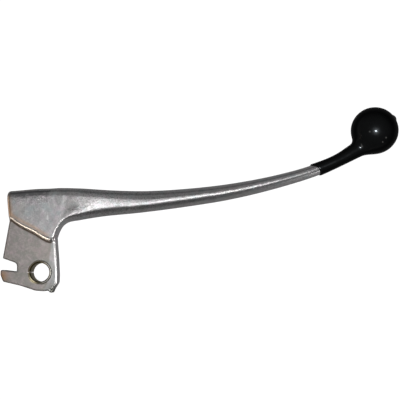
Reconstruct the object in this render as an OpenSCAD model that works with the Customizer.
// Clutch lever, motorcycle type: cast blade, split pivot bush and dipped ball-end cover.
// Millimetres. The origin is on the pivot axis, half way through the tongue.
// +Z runs along the pivot axis, +X towards the ball, +Y away from the handlebar.

/* [Pivot bush] */
// inside diameter of the bush, which runs on the pivot bolt
bush_bore = 8.2; // [7.6:0.1:8.6]
// wall thickness of the bush
bush_wall = 1.0; // [0.8:0.1:1.1]
// how far each end of the bush stands proud of the tongue
bush_proud = 0.1; // [0.05:0.05:0.3]
// width of the split down one side of the rolled bush
bush_split = 0.15; // [0.05:0.05:0.4]
// chamfer on the outer edges of the bush
bush_chamfer = 0.25; // [0.1:0.05:0.25]
// chamfer in the mouth of the bush, at each end
bush_mouth = 0.5; // [0.3:0.05:0.5]
// running clearance between the bush and the lever, on the radius
bush_clearance = 0.04; // [0.02:0.01:0.08]

/* [Tongue] */
// thickness of the tongue that sits between the ears of the perch
tongue_thickness = 7.8; // [7:0.1:8.6]
// distance from the pivot axis to the right edge of the tongue
tongue_right = 7.0; // [6.8:0.1:7.8]
// distance from the pivot axis to the bottom edge of the tongue
tongue_bottom = 8.35; // [8:0.05:9]
// how far the small lug reaches below the pivot axis
lug_drop = 9.2; // [8.9:0.1:10]
// distance from the pivot axis to the inner wall of the cable notch
notch_wall = 10.2; // [9.2:0.1:10.8]
// height of the notch roof above the pivot axis, at the inner wall
notch_roof = 3.95; // [3.4:0.05:4.2]
// height of the notch floor above the pivot axis, at the inner wall
notch_floor = 0.25; // [0:0.05:0.6]
// how much the notch roof climbs towards the mouth
notch_flare = 2.2; // [1.2:0.1:2.6]
// how far the jaw under the notch reaches from the pivot axis
jaw_reach = 17.4; // [16.9:0.1:18.2]

/* [Head] */
// half the height of the head along the pivot axis
head_half = 6.0; // [5.4:0.1:7]
// rounding where the flat face of the head meets its side walls
head_edge = 0.8; // [0.4:0.1:1.2]
// width of the rounding along the ridge
ridge_round = 2.4; // [1.6:0.1:3]
// width of the rounding along the top of the head
top_round = 4.8; // [3.6:0.1:5]
// height of the back corner of the head above the pivot axis
head_back = 36.45; // [35.6:0.05:37.4]
// height of the top of the head above the pivot axis
head_crest = 37.75; // [36.8:0.1:38.6]
// height of the left end of the ridge above the pivot axis
ridge_high = 22.8; // [22.2:0.1:23.6]
// height of the right end of the ridge above the pivot axis
ridge_low = 13.6; // [13:0.1:14.2]

/* [Blade] */
// upper edge of the blade at the waist
waist_top = 36.4; // [35.6:0.1:37.2]
// lower edge of the blade at the waist
waist_low = 26.6; // [25.8:0.1:27.4]
// half the height of the blade at the waist, along the pivot axis
waist_half = 4.8; // [4.4:0.1:5.6]
// upper edge of the blade at its middle
middle_top = 39.8; // [39.2:0.1:40.4]
// lower edge of the blade at its middle
middle_low = 33.0; // [32.4:0.1:33.6]
// half the height of the blade at its middle, along the pivot axis
middle_half = 4.7; // [4.3:0.1:5.4]
// half the height of the neck, along the pivot axis
neck_half = 4.3; // [3.8:0.1:4.8]

/* [Ball end] */
// distance along X from the pivot axis to the middle of the ball
ball_x = 150.1; // [149.5:0.1:150.7]
// distance along Y from the pivot axis to the middle of the ball
ball_y = 64.1; // [63.5:0.1:64.7]
// radius of the cast ball, under the cover
ball_r = 9.5; // [9.2:0.1:9.8]
// thickness of the cover over the ball
cover_ball = 1.1; // [0.9:0.1:1.3]
// thickness of the cover over the neck
cover_neck = 0.5; // [0.4:0.05:0.7]
// gap between the cover and the metal, so that the two never share a surface
cover_gap = 0.03; // [0.02:0.01:0.05]
// how far the set drip stands out of the ball
drip_out = 0.95; // [0.7:0.05:1.1]
// direction of the drip, in degrees above +X
drip_angle = 33; // [28:1:45]

/* [Hidden] */

bush_inner_r = bush_bore / 2;
bush_outer_r = bush_inner_r + bush_wall;
bore_r = bush_outer_r + bush_clearance;
bore_cut = 20;   // length of the cutter for the pivot bore
overcut = 1;     // how far the split's cutter runs past the bush

ball_centre = [ball_x, ball_y, 0];
drip_r = 2;

// rounding of the back end of the head, which faces -X
back_round = 1.0;                   // along X, at the lower edge
back_round_top = back_round + 0.4;  // along X, at the upper edge
back_low_rise = 0.3;                // how far the lower edge rises
back_top_drop = 1.5;                // how far the upper edge drops

flank_steps = 5;      // steps round each flank of a ring
face_steps = 3;       // steps across each flat face of a ring
flank_margin = 0.15;  // least flat left between the middle of a section and its flank
corner_steps = 4;     // steps round each corner of the tongue

// ---- blade sections ----
// Each section is a line across the blade, from its lower edge to its upper edge.
// Its columns, where a flank is the width of the rounding beside an edge:
LOW_X = 0;
LOW_Y = 1;
TOP_X = 2;
TOP_Y = 3;
HALF = 4;
LOW_FLANK = 5;
TOP_FLANK = 6;
SQUARENESS = 7;  // exponent of the flank's curve: 2 is an ellipse, more is squarer
sections = [
    [-12.8, ridge_high, -13.7, head_back - 0.1, head_half, ridge_round - 0.2, top_round - 0.6, 2.8],
    [-8.8, ridge_high - 2.75, -8.9, head_back + 0.3, head_half, ridge_round - 0.2, top_round - 0.2, 2.8],
    [-2.9, ridge_high - 5.75, -2.5, head_back + 0.85, head_half, ridge_round, top_round, 2.8],
    [3.1, ridge_low, 3.9, head_crest - 0.25, head_half, ridge_round + 0.2, top_round, 2.8],
    [5.5, ridge_low + 0.15, 7.7, head_crest, head_half, 1.8, top_round, 2.7],
    [6.75, ridge_low + 3.7, 10.7, head_crest, head_half, 1.5, top_round, 2.6],
    [8.3, ridge_low + 6.5, 14.2, head_crest - 0.05, head_half, 1.9, top_round, 2.5],
    [11.2, ridge_low + 8.65, 18.3, head_crest - 0.2, head_half, 3.0, top_round, 2.5],
    [16.7, ridge_low + 9.75, 23.2, head_crest - 0.5, head_half - 0.25, 4.0, 4.9, 2.4],
    [25.7, waist_low - 1.8, 30.7, waist_top + 0.4, waist_half + 0.35, 4.8, 5.0, 2.3],
    [43.2, waist_low, 45.2, waist_top + 0.05, waist_half, 4.2, 4.8, 2.2],
    [64.8, middle_low - 3.6, 64.2, middle_top - 2.35, (waist_half + middle_half) / 2, 3.8, 3.9, 2.1],
    [86.3, middle_low, 84.7, middle_top, middle_half, 3.3, 3.3, 2.0],
    [107.9, 38.4, 104.7, 43.6, neck_half + 0.2, 2.9, 2.9, 2.0],
    [124.9, 43.9, 120.9, 48.1, neck_half, 2.8, 2.8, 2.0],
    [136.7, 49.35, 133.2, 53.2, neck_half, 2.8, 2.8, 2.0],
    [143.9, 52.85, 140.2, 57.9, neck_half, 2.9, 2.9, 2.0],
    [151.1, 56.3, 147.3, 62.4, neck_half, 3.0, 3.0, 2.0]
];
last = len(sections) - 1;
cover_start = last - 3;  // the section where the cover starts
// steps from each section to the next
pieces = [2, 2, 2, 4, 4, 4, 4, 4, 4, 5, 6, 6, 6, 6, 5, 4, 4];

// slope of every column at section i, against the upper edge's x
function gap(i) = sections[i + 1][TOP_X] - sections[i][TOP_X];
function rise(i) = (sections[i + 1] - sections[i]) / gap(i);
function slope(i) =
    i == 0 ? rise(0)
    : i == last ? rise(last - 1)
    : (rise(i - 1) * gap(i) + rise(i) * gap(i - 1)) / (gap(i) + gap(i - 1));

// the section a fraction t of the way from section i to the next, on a smooth cubic
function between(i, t) =
    let(blend = t * t * (3 - 2 * t))
    sections[i] * (1 - blend) + sections[i + 1] * blend
    + slope(i) * gap(i) * t * (1 - t) * (1 - t)
    - slope(i + 1) * gap(i) * t * t * (1 - t);

// all the sections and the steps between them, from section first to the last
function sections_from(first) = concat(
    [for (i = [first:last - 1], k = [0:pieces[i] - 1]) between(i, k / pieces[i])],
    [sections[last]]
);

// the first section drawn in to round the back of the head; at 90 degrees it is the end
function back_section(angle) =
    let(out = sin(angle), inset = 1 - cos(angle))
    sections[0] + [
        -back_round * out, back_low_rise * inset,
        -back_round_top * out, -back_top_drop * inset,
        -head_edge * inset, 0, 0, 0
    ];

// step k round a flank of unit size, as [distance in from the edge, height]
function flank(k, power) =
    let(angle = 90 * k / flank_steps)
    [1 - pow(cos(angle), power), pow(sin(angle), power)];

// points over the +Z side of a section grown all round, from lower edge to upper edge
function half_ring(section, growth) =
    let(
        low = [section[LOW_X], section[LOW_Y]],
        top = [section[TOP_X], section[TOP_Y]],
        width = norm(top - low),
        across = (top - low) / width,
        widest = width / 2 - flank_margin,
        low_flank = min(section[LOW_FLANK], widest) + growth,
        top_flank = min(section[TOP_FLANK], widest) + growth,
        start = low - growth * across,
        full = width + 2 * growth,
        half = section[HALF] + growth,
        power = 2 / section[SQUARENESS],
        // [distance across, height]
        profile = concat(
            [for (k = [0:flank_steps - 1]) let(f = flank(k, power))
                [low_flank * f[0], half * f[1]]],
            [for (k = [0:face_steps])
                [low_flank + (full - low_flank - top_flank) * k / face_steps, half]],
            [for (k = [flank_steps - 1:-1:0]) let(f = flank(k, power))
                [full - top_flank * f[0], half * f[1]]]
        )
    )
    [for (p = profile) let(spot = start + across * p[0]) [spot[0], spot[1], p[1]]];

// the closed ring: the half ring, then its mirror image back under the section
function ring(section, growth = 0) =
    let(half = half_ring(section, growth))
    concat(half, [for (k = [len(half) - 2:-1:1]) [half[k][0], half[k][1], -half[k][2]]]);
function rings(list, growth = 0) = [for (section = list) ring(section, growth)];

// a closed skin over a row of rings, which all have the same number of points
module loft(rings) {
    count = len(rings);
    size = len(rings[0]);
    polyhedron(
        points = [for (r = rings) each r],
        faces = concat(
            [[for (j = [size - 1:-1:0]) j]],
            [for (i = [0:count - 2], j = [0:size - 1])
                let(here = i * size, next = here + size, k = (j + 1) % size)
                each [[here + j, next + k, next + j], [here + j, here + k, next + k]]],
            [[for (j = [0:size - 1]) (count - 1) * size + j]]
        ),
        convexity = 8
    );
}

// ---- tongue outline ----
function unit(v) = v / norm(v);
function wrap(angle) = angle > 180 ? angle - 360 : angle < -180 ? angle + 360 : angle;

// the corner at point, between its neighbours before and after, rounded to a radius
function corner(before, point, after, radius) =
    radius == 0 ? [point] :
    let(
        back = unit(before - point),
        ahead = unit(after - point),
        half = acos(back * ahead) / 2,
        centre = point + unit(back + ahead) * radius / sin(half),
        from = point + back * radius / tan(half) - centre,
        to = point + ahead * radius / tan(half) - centre,
        start = atan2(from[1], from[0]),
        sweep = wrap(atan2(to[1], to[0]) - start)
    )
    [for (k = [0:corner_steps])
        let(angle = start + sweep * k / corner_steps)
        centre + radius * [cos(angle), sin(angle)]];

function xy(row) = [row[0], row[1]];
function rounded(rows) =
    let(n = len(rows))
    [for (i = [0:n - 1])
        each corner(xy(rows[(i + n - 1) % n]), xy(rows[i]), xy(rows[(i + 1) % n]), rows[i][2])];

// x, y and corner radius, anticlockwise from the notch floor
tongue_corners = [
    // notch floor and jaw
    [-notch_wall, notch_floor, 0.6],
    [-jaw_reach + 0.05, notch_floor + 0.9, 0.7],
    [-jaw_reach, -1.2, 2.0],
    [-jaw_reach + 1.2, -4.15, 1.3],
    // bottom edge and lug
    [-8.7, -5.85, 0],
    [-1.9, -tongue_bottom + 0.3, 3.0],
    [2.0, -tongue_bottom, 0.8],
    [3.4, -tongue_bottom + 0.4, 0.35],
    [5.1, -lug_drop, 0.35],
    [6.0, -7.05, 0.8],
    // right edge
    [tongue_right + 0.45, -4.4, 1.5],
    [tongue_right + 0.55, -1.2, 0],
    [tongue_right + 0.05, 6.5, 0],
    [tongue_right - 0.7, 15.0, 0],
    [tongue_right - 1.2, 18.5, 0],
    // upper left end and notch roof
    [-11.9, 26.2, 0],
    [-13.4, 25.0, 0],
    [-13.8, 23.4, 1.2],
    [-jaw_reach + 0.85, notch_roof + notch_flare, 0.5],
    [-notch_wall, notch_roof, 1.9]
];

// ---- pieces ----
// head, blade, ball and tongue in one casting, bored for the bush
module lever_blade() {
    color([0.62, 0.62, 0.61])
    difference() {
        union() {
            // a resize that changes nothing joins the blade and the ball as one closed mesh
            resize([0, 0, 0]) union() {
                loft(rings(concat(
                    [for (angle = [90, 60, 30]) back_section(angle)],
                    sections_from(0)
                )));
                translate(ball_centre) sphere(r = ball_r, $fn = 48);
            }
            linear_extrude(height = tongue_thickness, center = true)
                polygon(rounded(tongue_corners));
        }
        translate([0, 0, -bore_cut / 2]) cylinder(r = bore_r, h = bore_cut, $fn = 96);
    }
}

// chamfered tube, split down its -X side
module pivot_bush() {
    end = tongue_thickness / 2 + bush_proud;
    color([0.55, 0.49, 0.32])
    difference() {
        rotate_extrude($fn = 96)
            polygon([
                [bush_inner_r, -end + bush_mouth], [bush_inner_r + bush_mouth, -end],
                [bush_outer_r - bush_chamfer, -end], [bush_outer_r, -end + bush_chamfer],
                [bush_outer_r, end - bush_chamfer], [bush_outer_r - bush_chamfer, end],
                [bush_inner_r + bush_mouth, end], [bush_inner_r, end - bush_mouth]
            ]);
        translate([-bush_outer_r - overcut, -bush_split / 2, -end - overcut])
            cube([bush_wall + 2 * overcut, bush_split, 2 * (end + overcut)]);
    }
}

// skin over the neck and the ball, with a drip on the ball
module ball_cover() {
    cover_r = ball_r + cover_gap + cover_ball;
    drip_reach = cover_r + drip_out - drip_r;
    covered = sections_from(cover_start);
    color([0.04, 0.04, 0.045])
    difference() {
        union() {
            // the first two rings thin the cover to a rounded lip
            loft(concat(
                [ring(covered[0], cover_gap + 0.25 * cover_neck),
                 ring(between(cover_start, 0.03), cover_gap + 0.75 * cover_neck)],
                rings([for (k = [1:len(covered) - 1]) covered[k]], cover_gap + cover_neck)
            ));
            translate(ball_centre) sphere(r = cover_r, $fn = 64);
            translate(ball_centre + drip_reach * [cos(drip_angle), sin(drip_angle), 0])
                sphere(r = drip_r, $fn = 48);
        }
        union() {
            // the hollow starts a little before the lip, to open it
            loft(rings(concat([between(cover_start - 1, 0.9)], covered), cover_gap));
            translate(ball_centre) sphere(r = ball_r + cover_gap, $fn = 64);
        }
    }
}

lever_blade();
pivot_bush();
ball_cover();
